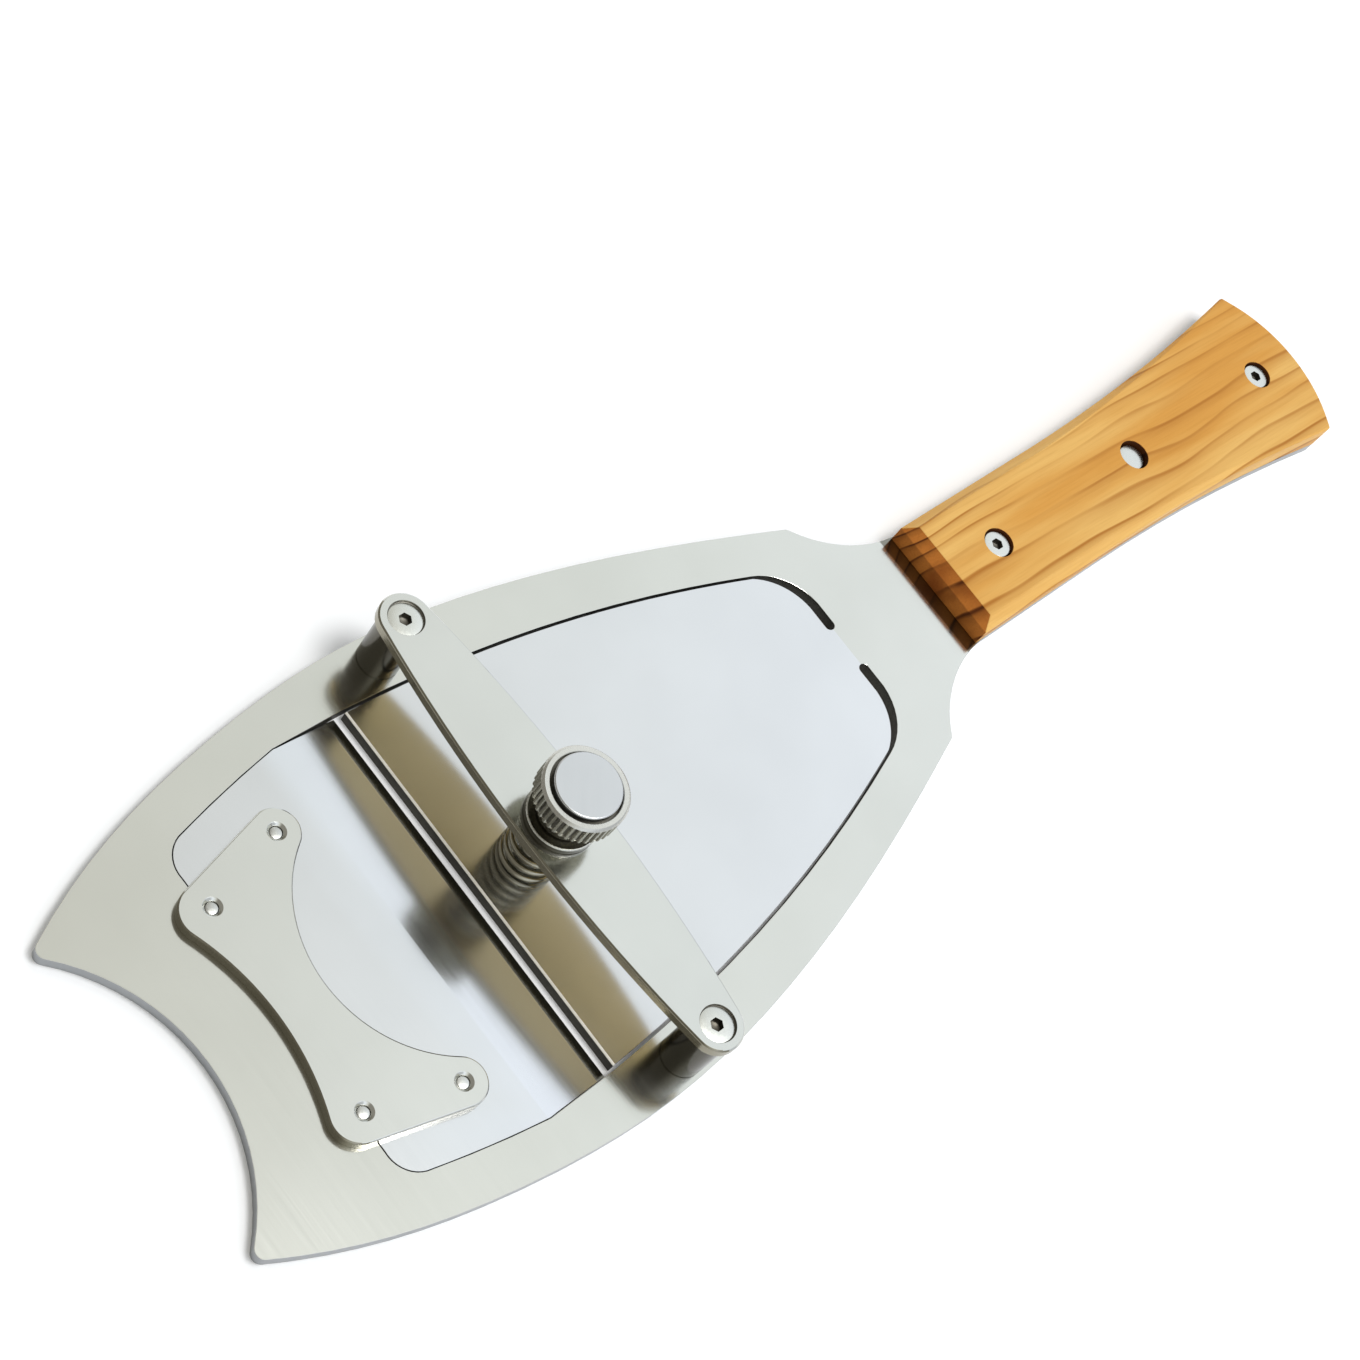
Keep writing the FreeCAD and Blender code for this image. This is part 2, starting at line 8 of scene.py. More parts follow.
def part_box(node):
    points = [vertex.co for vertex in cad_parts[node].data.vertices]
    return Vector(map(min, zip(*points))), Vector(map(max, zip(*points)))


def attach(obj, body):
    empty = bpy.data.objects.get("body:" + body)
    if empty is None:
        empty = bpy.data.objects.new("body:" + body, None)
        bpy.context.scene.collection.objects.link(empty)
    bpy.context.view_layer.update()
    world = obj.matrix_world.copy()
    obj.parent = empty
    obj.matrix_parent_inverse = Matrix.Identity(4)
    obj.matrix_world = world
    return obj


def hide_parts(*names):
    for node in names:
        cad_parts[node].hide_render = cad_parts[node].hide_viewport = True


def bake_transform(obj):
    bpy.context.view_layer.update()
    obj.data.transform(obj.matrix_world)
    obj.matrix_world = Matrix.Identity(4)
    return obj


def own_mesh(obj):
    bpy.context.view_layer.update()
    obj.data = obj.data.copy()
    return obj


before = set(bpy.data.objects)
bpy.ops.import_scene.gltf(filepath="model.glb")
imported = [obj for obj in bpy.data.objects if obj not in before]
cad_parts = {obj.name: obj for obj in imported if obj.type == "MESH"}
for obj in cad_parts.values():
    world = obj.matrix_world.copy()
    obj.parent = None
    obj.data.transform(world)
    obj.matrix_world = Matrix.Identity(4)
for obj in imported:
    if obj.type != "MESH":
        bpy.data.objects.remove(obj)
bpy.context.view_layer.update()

MM = 0.001


# ---- places read from the frame --------------------------------------------------------------------
def middle(node):
    low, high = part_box(node)
    return (low + high) / 2


def low_z(node):
    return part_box(node)[0].z


def top_z(node):
    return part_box(node)[1].z


def radius_of(node):
    low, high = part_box(node)
    return (high.y - low.y) / 2


SHEET_T = top_z("frame_plate")
TONGUE_ROOT_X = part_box("tongue")[1].x
WINDOW_MIDDLE = Vector((-0.05, 0, 0))


def measures(node):
    """A round node's middle, lowest and highest z, and radius."""
    return middle(node), low_z(node), top_z(node), radius_of(node)


def add_object(name, data):
    made = bpy.data.objects.new(name, data)
    bpy.context.scene.collection.objects.link(made)
    return made


def near_any(at, centres, distance):
    """Whether a point is within the distance of any upright axis."""
    return any(math.hypot(at.x - c.x, at.y - c.y) < distance for c in centres)


# ---- node graphs -----------------------------------------------------------------------------------
def set_stops(ramp, stops):
    """Gives a colour ramp its list of (position, colour)."""
    while len(ramp.elements) < len(stops):
        ramp.elements.new(0.5)
    for element, (position, colour) in zip(ramp.elements, stops):
        element.position = position
        element.color = (*colour, 1)


class Graph:
    """Adds shader nodes to one material; inputs are constants or the outputs of other nodes."""

    def __init__(self, name):
        self.material = bpy.data.materials.new(name)
        self.material.use_nodes = True
        self.tree = self.material.node_tree
        self.shader = self.tree.nodes["Principled BSDF"]

    def add(self, kind, inputs=None, **settings):
        node = self.tree.nodes.new("ShaderNode" + kind)
        for key, value in settings.items():
            setattr(node, key, value)
        for key, value in (inputs or {}).items():
            self.feed(node.inputs[key], value)
        return node

    def feed(self, socket, value):
        if isinstance(value, bpy.types.NodeSocket):
            self.tree.links.new(value, socket)
        elif isinstance(value, tuple) and len(value) == 3 and socket.type == "RGBA":
            socket.default_value = (*value, 1)
        else:
            socket.default_value = value

    def set(self, **inputs):
        for key, value in inputs.items():
            self.feed(self.shader.inputs[key.replace("_", " ")], value)

    def place(self, scale=(1, 1, 1), turn_z=0.0):
        """Object coordinates, turned about Z and then scaled along each axis."""
        source = self.add("TexCoord").outputs["Object"]
        turned = self.add("Mapping", {"Vector": source, "Rotation": (0, 0, turn_z)}).outputs[0]
        return self.add("Mapping", {"Vector": turned, "Scale": scale}).outputs[0]

    def noise(self, at, scale=1.0, detail=2.0, roughness=0.5):
        node = self.add("TexNoise", {"Vector": at, "Scale": scale, "Detail": detail, "Roughness": roughness})
        return node.outputs["Fac"]

    def math(self, operation, a, b=0.0):
        return self.add("Math", {0: a, 1: b}, operation=operation).outputs[0]

    def remap(self, value, low, high, to_low, to_high):
        return self.add("MapRange", {"Value": value, "From Min": low, "From Max": high,
                                     "To Min": to_low, "To Max": to_high}).outputs[0]

    def ramp(self, value, stops):
        node = self.add("ValToRGB", {"Fac": value})
        set_stops(node.color_ramp, stops)
        return node.outputs["Color"]

    def blend(self, fac, a, b):
        node = self.add("Mix", data_type="RGBA")
        self.feed(node.inputs["Factor"], fac)
        self.feed(node.inputs[6], a)
        self.feed(node.inputs[7], b)
        return node.outputs[2]

    def bump(self, height, strength, distance):
        return self.add("Bump", {"Height": height, "Strength": strength, "Distance": distance}).outputs[0]


# ---- materials -------------------------------------------------------------------------------------
CLOUD_SCALE = 45
GRAIN_SCALE = 2600
BRUSH_SCALE = (60, 5200, 1200)      # along, across and through the brushed lines
STEEL_RELIEF = 0.02 * MM
HANDLE_SHADE_REACH = 2.4 * MM              # how far the painted shade reaches in front of the handle
HANDLE_SHADE_FADE = 0.3 * MM
HANDLE_SHADE_TONE = (0.25, 0.24, 0.2)

WOOD_LEAN = math.radians(1.5)
GROWTH_LINES_PER_M = 310.0
SWAY = 3.6 * MM
DRIFT = 7 * MM
LINE_SLOPE = 0.3                    # sideways shift of the growth lines with depth
WOOD_RELIEF = 0.04 * MM


def steel(name, dull, bright, roughness, spread=0.03, brushed_deg=None, relief=0.06, handle_shade_x=None):
    """Metal with cloudy tone changes.

    brushed_deg is the direction of its fine lines, or None. The last argument is the edge of a band of
    painted shade on the top face in front of the handle (the handle's dark end reflected in the steel), or None.
    """
    g = Graph(name)
    clouds = g.noise(g.place(), CLOUD_SCALE, detail=4)
    tone = g.blend(g.remap(clouds, 0.3, 0.7, 0, 1), dull, bright)
    # Painted shade: a dark band on the top face in front of the handle, standing in for the handle's dark end
    # reflected in the steel.
    if handle_shade_x is not None:
        x, _, z = g.add("SeparateXYZ", {"Vector": g.place()}).outputs[:3]
        reached = g.remap(x, handle_shade_x - HANDLE_SHADE_FADE, handle_shade_x, 0, 1)
        on_top = g.math("GREATER_THAN", z, 0.5 * SHEET_T)
        tone = g.blend(g.math("MULTIPLY", reached, on_top), tone, HANDLE_SHADE_TONE)
    if brushed_deg is None:
        fine = g.noise(g.place(), GRAIN_SCALE, detail=3)
    else:
        fine = g.noise(g.place(BRUSH_SCALE, -math.radians(brushed_deg)), detail=3)
    g.set(Metallic=1.0, Base_Color=tone,
          Roughness=g.remap(fine, 0.25, 0.75, roughness - spread, roughness + spread),
          Normal=g.bump(fine, relief, STEEL_RELIEF))
    return g.material


def olive_wood(name, light, dark, line, roughness=0.5):
    """Wood with long, wavy growth lines along the handle: each is sharp on one side and fades on the other."""
    g = Graph(name)
    sway = g.noise(g.place((16, 60, 40), WOOD_LEAN), detail=2)
    drift = g.noise(g.place((5, 22, 22), WOOD_LEAN), detail=1)
    y, z = g.add("SeparateXYZ", {"Vector": g.place((1, 1, 1), WOOD_LEAN)}).outputs[1:3]
    across = g.math("ADD", y, g.remap(sway, 0, 1, -SWAY, SWAY))
    across = g.math("ADD", across, g.remap(drift, 0, 1, -DRIFT, DRIFT))
    across = g.math("ADD", across, g.math("MULTIPLY", z, LINE_SLOPE))
    phase = g.math("FRACT", g.math("MULTIPLY", across, GROWTH_LINES_PER_M))
    streak = g.ramp(phase, [(0.0, (0, 0, 0)), (0.35, (0.04, 0.04, 0.04)), (0.76, (0.42, 0.42, 0.42)),
                            (0.87, (1, 1, 1)), (0.92, (0.9, 0.9, 0.9)), (0.97, (0, 0, 0))])
    weight = g.noise(g.place((22, 170, 120), WOOD_LEAN), detail=2)
    amount = g.math("MULTIPLY", streak, g.remap(weight, 0.36, 0.6, 0.2, 0.95))
    fibre = g.noise(g.place((90, 2600, 2600), WOOD_LEAN), detail=4, roughness=0.65)
    patches = g.noise(g.place((12, 130, 90), WOOD_LEAN), detail=3)
    body = g.blend(g.remap(patches, 0.4, 0.62, 0, 1), dark, light)
    colour = g.blend(amount, body, line)
    colour = g.blend(g.remap(fibre, 0.45, 0.8, 0.0, 0.22), colour, line)
    g.set(Base_Color=colour, Roughness=g.remap(fibre, 0.3, 0.7, roughness - 0.07, roughness + 0.07),
          Specular_IOR_Level=0.1, Normal=g.bump(fibre, 0.15, WOOD_RELIEF))
    return g.material


# The frame steel carries the band of painted shade in front of the handle.
FRAME_STEEL = steel("frame_steel", (0.63, 0.625, 0.565), (0.67, 0.665, 0.605), 0.15, 0.02, brushed_deg=90,
                    handle_shade_x=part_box("handle_scale")[0].x - HANDLE_SHADE_REACH)
CLAMP_STEEL = steel("clamp_steel", (0.65, 0.65, 0.6), (0.69, 0.69, 0.64), 0.15, 0.02, brushed_deg=90)
BRIDGE_STEEL = steel("bridge_steel", (0.63, 0.63, 0.58), (0.68, 0.68, 0.63), 0.15, 0.02, brushed_deg=90)
BROWN_UNDERSIDE_STEEL = steel("bridge_underside_steel", (0.56, 0.45, 0.25), (0.64, 0.52, 0.29), 0.35)
TONGUE_STEEL = steel("tongue_steel", (0.67, 0.67, 0.66), (0.71, 0.71, 0.7), 0.15, 0.02, brushed_deg=0)
BLADE_STEEL = steel("blade_steel", (0.67, 0.675, 0.67), (0.71, 0.715, 0.71), 0.17, 0.02, brushed_deg=90)
# Near-black painted shade for the walls inside the window, slots, throat, gaps and rivet holes.
GAP_SHADE_STEEL = steel("gap_wall_painted_shade", (0.035, 0.033, 0.028), (0.085, 0.082, 0.07), 0.5, 0.06, relief=0.3)
# Painted shade: a darker, rougher copy of the steel for the frame's outer walls.
OUTER_WALL_SHADE_STEEL = steel("outer_edge_painted_shade", (0.28, 0.29, 0.3), (0.36, 0.37, 0.38), 0.35, relief=0.15)
# Painted shade: a darker copy of the steel for walls and front-facing bevels, and for the blade's bevel in the
# throat.
WALL_SHADE_STEEL = steel("wall_painted_shade", (0.27, 0.25, 0.19), (0.36, 0.34, 0.27), 0.22, relief=0.2)
# Near-black painted shade for the standoffs under the bridge and the washer under the knob.
UNDER_SHADE_STEEL = steel("standoff_painted_shade", (0.08, 0.075, 0.06), (0.14, 0.13, 0.105), 0.2, 0.05)
TURNED_STEEL = steel("turned_steel", (0.34, 0.33, 0.28), (0.42, 0.41, 0.35), 0.24, 0.05)
# Painted shade for the knurl grooves.
GROOVE_SHADE_STEEL = steel("knurl_groove_painted_shade", (0.1, 0.095, 0.08), (0.17, 0.16, 0.13), 0.4, 0.05)
# Painted highlight: a lighter copy of the turned steel for the nut's rim and the washer's lip, and painted light
# against the shade of the cap's recess.
RIM_HIGHLIGHT_STEEL = steel("rim_painted_highlight", (0.54, 0.53, 0.48), (0.62, 0.61, 0.56), 0.28, 0.05)
CAP_STEEL = steel("nut_cap_steel", (0.55, 0.555, 0.55), (0.6, 0.605, 0.6), 0.24, brushed_deg=48, relief=0.03)
SCREW_STEEL = steel("screw_steel", (0.6, 0.6, 0.55), (0.68, 0.68, 0.62), 0.26, 0.04)
RIVET_STEEL = steel("rivet_steel", (0.44, 0.44, 0.41), (0.62, 0.62, 0.58), 0.3, 0.08, relief=0.4)
# Painted shade for hex sockets and countersinks.
SOCKET_SHADE_STEEL = steel("socket_painted_shade", (0.12, 0.11, 0.09), (0.22, 0.21, 0.18), 0.4, 0.05)
SPRING_STEEL = steel("spring_steel", (0.3, 0.28, 0.22), (0.42, 0.4, 0.32), 0.2, 0.04, relief=0.02)
WOOD = olive_wood("olive_wood", (0.77, 0.455, 0.132), (0.665, 0.32, 0.064), (0.41, 0.152, 0.02))
WOOD_END = olive_wood("olive_wood_end_grain", (0.52, 0.175, 0.03), (0.3, 0.08, 0.012), (0.06, 0.012, 0.002))
# Near-black painted shade for the walls of the bores in the handle.
BORE_SHADE_WOOD = olive_wood("olive_wood_bore_painted_shade", (0.12, 0.035, 0.008), (0.08, 0.022, 0.005), (0.03, 0.008, 0.002), 0.6)


def edge_highlight():
    """Painted highlight for the tongue's front edge: a nearly diffuse pale cream that looks bright from every
    side.
    """
    g = Graph("edge_painted_highlight")
    g.set(Base_Color=g.blend(g.noise(g.place(), 900), (0.7, 0.66, 0.56), (0.95, 0.92, 0.84)), Metallic=0.1,
          Roughness=0.35)
    return g.material


EDGE_HIGHLIGHT_STEEL = edge_highlight()


# ---- meshes ----------------------------------------------------------------------------------------
def finish_mesh(bm, name, materials, paint=None, sharp_deg=35.0):
    """Turns a bmesh into an object with smooth shading that breaks at sharp edges.

    paint gives each face its material's place in the list, from the face's normal and middle.
    """
    bmesh.ops.recalc_face_normals(bm, faces=bm.faces)
    bm.normal_update()
    for face in bm.faces:
        face.smooth = True
        if paint:
            face.material_index = paint(face.normal, face.calc_center_median())
    for edge in bm.edges:
        edge.smooth = len(edge.link_faces) == 2 and edge.calc_face_angle() < math.radians(sharp_deg)
    mesh = bpy.data.meshes.new(name)
    bm.to_mesh(mesh)
    bm.free()
    piece = add_object(name, mesh)
    for material in materials:
        mesh.materials.append(material)
    weighted = piece.modifiers.new("even_normals", "WEIGHTED_NORMAL")
    weighted.keep_sharp = True
    return piece


def sharp_edges(bm, degrees):
    return [e for e in bm.edges if len(e.link_faces) == 2 and e.calc_face_angle() > math.radians(degrees)]


def ease(bm, offset, degrees=30.0, segments=2, keep=None):
    """Rounds every edge sharper than the given angle, except those that keep() holds back."""
    edges = [e for e in sharp_edges(bm, degrees) if not (keep and keep(e))]
    bmesh.ops.bevel(bm, geom=edges, offset=offset, offset_type="OFFSET", segments=segments,
                    profile=0.5, affect="EDGES", clamp_overlap=False)


def solid_of(node):
    """A welded copy of a CAD node's mesh with its flat faces merged."""
    bm = bmesh.new()
    bm.from_mesh(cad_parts[node].data)
    bmesh.ops.remove_doubles(bm, verts=bm.verts, dist=0.002 * MM)
    bmesh.ops.dissolve_limit(bm, angle_limit=math.radians(0.05), verts=bm.verts, edges=bm.edges)
    return bm


def stands_for(piece, node, body="frame"):
    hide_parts(node)
    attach(piece, body)


# ---- turned pieces ---------------------------------------------------------------------------------
def round_shape(angle):
    return 1.0


def hex_shape(angle):
    """A hexagon's reach in a direction, as a share of its corner radius."""
    return math.cos(math.pi / 6) / math.cos(angle % (math.pi / 3) - math.pi / 6)


def knurl_shape(teeth, depth_share):
    """Straight knurling: narrow grooves between flat-topped teeth."""
    def reach(angle):
        phase = (angle * teeth / (2 * math.pi)) % 1.0
        groove = max(0.0, 1 - abs(phase - 0.5) / 0.3)
        return 1 - depth_share * min(1.0, 1.6 * groove)
    return reach


def turned(rings, centre, count=96):
    """Closed solid through rings of (radius, z, shape); a ring of radius 0 is a point on the axis."""
    bm = bmesh.new()
    loops = []
    for radius, z, shape in rings:
        if radius == 0:
            loops.append([bm.verts.new((centre.x, centre.y, z))])
            continue
        loop = []
        for i in range(count):
            angle = 2 * math.pi * i / count
            reach = radius * shape(angle)
            loop.append(bm.verts.new((centre.x + reach * math.cos(angle), centre.y + reach * math.sin(angle), z)))
        loops.append(loop)
    closed = loops[0] if len(loops[0]) > 1 else None
    for low, high in zip(loops, loops[1:] + ([closed] if closed else [])):
        for i in range(count):
            j = (i + 1) % count
            if len(low) == 1:
                bm.faces.new((low[0], high[i], high[j]))
            elif len(high) == 1:
                bm.faces.new((low[i], low[j], high[0]))
            else:
                bm.faces.new((low[i], low[j], high[j], high[i]))
    return bm


def plain(*pairs):
    return [(r, z, round_shape) for r, z in pairs]


def arc_rings(r_from, r_to, z_from, z_to, steps=5):
    """Quarter-round profile between two corners, bulging outward and upward."""
    rings = []
    for i in range(steps + 1):
        t = math.pi / 2 * i / steps
        rings.append((r_to + (r_from - r_to) * math.cos(t), z_from + (z_to - z_from) * math.sin(t), round_shape))
    return rings


# ---- sheet pieces ----------------------------------------------------------------------------------
EDGE = 0.05 * MM
HOLE_REACH = 3.2 * MM               # from a screw's axis to just outside its countersink or counterbore
WINDOW_MARGIN = 8 * MM              # how far the slot's bends reach past the tongue's root
ROOT_HALF_W = 4.2 * MM
LIP_LENGTH = 0.4 * MM


def is_wall(normal):
    return abs(normal.z) < 0.35


def shaded_side(normal):
    """Walls, and the bevels that face the front: these take painted shade, a darker copy of the steel."""
    return normal.z < 0.35 or (normal.z < 0.95 and normal.x < -0.2)


def faces_inward(normal, at):
    """Whether a wall belongs to the window or the slot, not to the sheet's outline."""
    flat = at - WINDOW_MIDDLE
    return at.x < TONGUE_ROOT_X + WINDOW_MARGIN and normal.x * flat.x + normal.y * flat.y < 0


def paint_frame(normal, at):
    if not is_wall(normal):
        return 0
    # Walls inside the window and slots take near-black painted shade; the outer walls take a darker painted-shade
    # copy of the steel.
    return 1 if faces_inward(normal, at) else 2


def at_root(edge):
    """Edges where the tongue grows out of the frame, which stay square so that no seam shows."""
    return all(abs(v.co.x - TONGUE_ROOT_X) < 0.2 * MM and abs(v.co.y) < ROOT_HALF_W for v in edge.verts)


def make_frame_sheet():
    bm = solid_of("frame_plate")
    ease(bm, EDGE, keep=at_root)
    piece = finish_mesh(bm, "frame_sheet", [FRAME_STEEL, GAP_SHADE_STEEL, OUTER_WALL_SHADE_STEEL], paint_frame, 20)
    stands_for(piece, "frame_plate")


def make_tongue_sheet():
    """The tongue, its root carried on to the frame's edge and cut across in even steps near the root."""
    parting = 0.1 * MM
    bend_length = 4.0 * MM
    front_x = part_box("tongue")[0].x
    bm = solid_of("tongue")
    bend_steps = 4
    for i in range(1, bend_steps + 1):
        cut = Vector((TONGUE_ROOT_X - bend_length * i / bend_steps, 0, 0))
        bmesh.ops.bisect_plane(bm, geom=bm.verts[:] + bm.edges[:] + bm.faces[:], plane_co=cut, plane_no=(1, 0, 0))

    def at_lip(edge):
        return all(v.co.x < front_x + LIP_LENGTH and v.co.z > SHEET_T - 0.01 * MM for v in edge.verts)
    ease(bm, EDGE, keep=lambda edge: at_root(edge) or at_lip(edge))
    ease(bm, 0.12 * MM, segments=1, keep=lambda edge: not at_lip(edge))
    for vert in bm.verts:
        if vert.co.x > TONGUE_ROOT_X - 0.01 * MM:
            vert.co.x += parting

    def paint(normal, at):
        # The lip's bevel takes the painted highlight; walls take near-black painted shade.
        if at.x < front_x + LIP_LENGTH and at.z > SHEET_T - 0.15 * MM and 0.1 < normal.z < 0.95:
            return 2
        return int(is_wall(normal))
    piece = finish_mesh(bm, "tongue_sheet", [TONGUE_STEEL, GAP_SHADE_STEEL, EDGE_HIGHLIGHT_STEEL], paint, 20)
    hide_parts("tongue")
    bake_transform(piece)


def make_blade():
    """Ground blade, its steep bevel in the throat in painted shade, a darker copy of the steel."""
    bm = solid_of("blade")
    ease(bm, 0.06 * MM, degrees=60)

    def paint(normal, at):
        # Walls take near-black painted shade; the bevel facing the tongue takes a darker painted-shade copy of
        # the steel.
        if is_wall(normal):
            return 1
        return 2 if normal.x > 0.25 and normal.z > 0 else 0
    piece = finish_mesh(bm, "ground_blade", [BLADE_STEEL, GAP_SHADE_STEEL, WALL_SHADE_STEEL], paint, 8)
    stands_for(piece, "blade")


def make_clamp():
    bm = solid_of("clamp_plate")
    ease(bm, EDGE, degrees=25, segments=1)
    rivets = [middle("rivet_" + end + side) for end in ("front", "rear") for side in ("_left", "_right")]

    def paint(normal, at):
        # Rivet-hole walls take near-black painted shade; walls and front-facing bevels take a darker
        # painted-shade copy of the steel.
        if near_any(at, rivets, 2 * MM):
            return 2 if is_wall(normal) else 0
        return int(shaded_side(normal))
    piece = finish_mesh(bm, "clamp", [CLAMP_STEEL, WALL_SHADE_STEEL, GAP_SHADE_STEEL], paint, 20)
    stands_for(piece, "clamp_plate")


def make_bridge():
    """Bar with painted shade on its walls and front bevels, a brown underside and countersinks in painted shade.
    """
    bm = solid_of("bridge")
    ease(bm, 0.04 * MM, degrees=25, segments=1)
    screws = [middle("bridge_screw_left"), middle("bridge_screw_right")]

    def paint(normal, at):
        # Countersinks take painted shade; walls and front-facing bevels take a darker painted-shade copy of the
        # steel.
        if near_any(at, screws, HOLE_REACH):
            return 2 if normal.z < 0.95 else 0
        return 3 if normal.z < -0.95 else int(shaded_side(normal))
    piece = finish_mesh(bm, "bridge_bar", [BRIDGE_STEEL, WALL_SHADE_STEEL, SOCKET_SHADE_STEEL, BROWN_UNDERSIDE_STEEL], paint, 20)
    stands_for(piece, "bridge")


# ---- fasteners and turned parts --------------------------------------------------------------------
HEX_CORNER = 1.155 * MM             # a 2 mm hex socket
HEX_DEPTH = 1.2 * MM
DRILL_R = 0.8 * MM
M3_SHANK_R = 1.5 * MM
CAP_SCREW_HEAD_H = 1.7 * MM
PIN_SHANK_R = 1.75 * MM
PIN_HEAD_H = 1.6 * MM


def socket_rings(top):
    """Ring by ring from the socket's mouth down to its drilled bottom."""
    floor = top - HEX_DEPTH
    return [(HEX_CORNER, top, hex_shape), (HEX_CORNER, floor, hex_shape),
            (DRILL_R, floor, round_shape), (0, floor - 0.35 * MM, round_shape)]


def socket_paint(centre, top):
    # Faces inside the hex socket take painted shade.
    def paint(normal, at):
        near = math.hypot(at.x - centre.x, at.y - centre.y) < HEX_CORNER
        return int(near and top - 2 * HEX_DEPTH < at.z < top - 0.05 * MM)
    return paint


def make_flat_head_screw(node):
    at, low, top, r = measures(node)
    shank = M3_SHANK_R
    edge = 0.12 * MM
    tip = 0.3 * MM
    rings = plain((0, low), (shank - tip, low), (shank, low + tip), (shank, top - (r - shank) - edge),
                  (r, top - edge)) + arc_rings(r, r - edge, top - edge, top, 3) + socket_rings(top)
    piece = finish_mesh(turned(rings, at), node + "_turned", [SCREW_STEEL, SOCKET_SHADE_STEEL], socket_paint(at, top))
    stands_for(piece, node)


def make_cap_screw(node):
    at, low, top, r = measures(node)
    edge = 0.3 * MM
    seat = top - CAP_SCREW_HEAD_H
    rings = plain((0, low), (M3_SHANK_R, low), (M3_SHANK_R, seat), (r, seat))
    rings += arc_rings(r, r - edge, top - edge, top, 4)
    rings += socket_rings(top)
    piece = finish_mesh(turned(rings, at), node + "_turned", [SCREW_STEEL, SOCKET_SHADE_STEEL], socket_paint(at, top))
    stands_for(piece, node)


def make_handle_pin():
    at, low, top, r = measures("handle_pin")
    edge = 0.25 * MM
    seat = top - PIN_HEAD_H
    rings = plain((0, low), (PIN_SHANK_R, low), (PIN_SHANK_R, seat), (r, seat))
    rings += arc_rings(r, r - edge, top - edge, top, 4) + plain((r * 0.55, top + 0.06 * MM), (0, top + 0.08 * MM))
    stands_for(finish_mesh(turned(rings, at), "handle_pin_turned", [SCREW_STEEL]), "handle_pin")


def make_rivet(node):
    """Rivet with a nearly flat, slightly uneven head."""
    at, low, top, r = measures(node)
    rings = plain((0, low), (r, low)) + arc_rings(r, r - 0.25 * MM, top - 0.3 * MM, top - 0.06 * MM, 4)
    rings += plain((r * 0.4, top), (0, top))
    stands_for(finish_mesh(turned(rings, at, 64), node + "_headed", [RIVET_STEEL]), node)


def make_standoff(node):
    at, low, top, r = measures(node)
    bore = 1.6 * MM
    edge = 0.2 * MM
    rings = plain((bore, low), (r - edge, low), (r, low + edge), (r, top - edge), (r - edge, top), (bore, top))
    stands_for(finish_mesh(turned(rings, at), node + "_turned", [UNDER_SHADE_STEEL]), node)


def make_washer():
    at, low, top, r = measures("nut_washer")
    bore = 3.2 * MM
    edge = 0.25 * MM
    rings = plain((bore, low), (r - edge, low)) + arc_rings(r, r, low, low + edge, 1)[1:]
    rings += arc_rings(r, r - edge, top - edge, top, 4) + plain((bore, top))

    def paint(normal, mid):
        # The washer's rounded top edge takes the painted highlight; the rest takes near-black painted shade.
        return int(mid.z > top - edge and math.hypot(mid.x - at.x, mid.y - at.y) > r - edge)
    piece = finish_mesh(turned(rings, at), "washer_turned", [UNDER_SHADE_STEEL, RIM_HIGHLIGHT_STEEL], paint)
    stands_for(piece, "nut_washer")


def make_stud():
    at, low, top, r = measures("adjust_stud")
    spigot = 1.6 * MM
    pitch = 0.7 * MM
    root = r - 0.3 * MM
    rings = plain((0, low), (spigot, low), (spigot, SHEET_T), (root, SHEET_T))
    z = SHEET_T + pitch
    while z < top - pitch:
        rings += plain((root, z - pitch / 2), (r, z))
        z += pitch
    rings += plain((root, z - pitch / 2), (0, top))
    piece = finish_mesh(turned(rings, at, 48), "adjust_stud_threaded", [TURNED_STEEL])
    stands_for(piece, "adjust_stud", "tongue")


